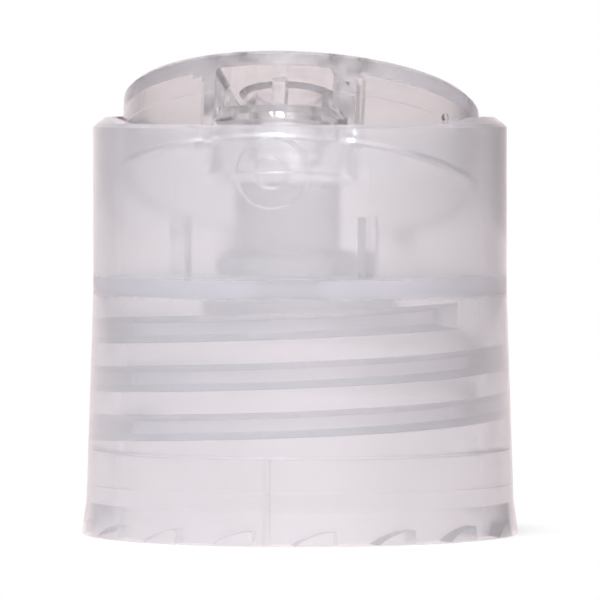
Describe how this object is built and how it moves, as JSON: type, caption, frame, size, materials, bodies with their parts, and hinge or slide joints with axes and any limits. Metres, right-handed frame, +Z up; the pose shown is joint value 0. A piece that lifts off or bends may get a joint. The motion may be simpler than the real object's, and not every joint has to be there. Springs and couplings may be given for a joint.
{
  "type": "disc top cap",
  "caption": "Threaded bottle cap with a rocking disc top: pressing the rear of the disc lifts its front spout, pressing the front shuts it.",
  "frame": {"origin": "middle of the foot on which the cap stands, on the thread axis", "axes": "+Z up along the thread axis, -Y towards the spout window, +X along the disc's pivot axis"},
  "size_m": [0.0288, 0.0288, 0.0317],
  "materials": {
    "natural_polypropylene": "injection-moulded natural polypropylene, translucent milky white, satin outside"
  },
  "bodies": {
    "cap_body": {"cap_body": "natural_polypropylene"},
    "disc": {"disc": "natural_polypropylene"}
  },
  "joints": [
    {"name": "disc_tilt", "type": "hinge", "parent": "cap_body", "child": "disc", "pos_m": [0, 0.00412, 0.0255], "axis": [1, 0, 0], "range_deg": [0, 18]}
  ]
}
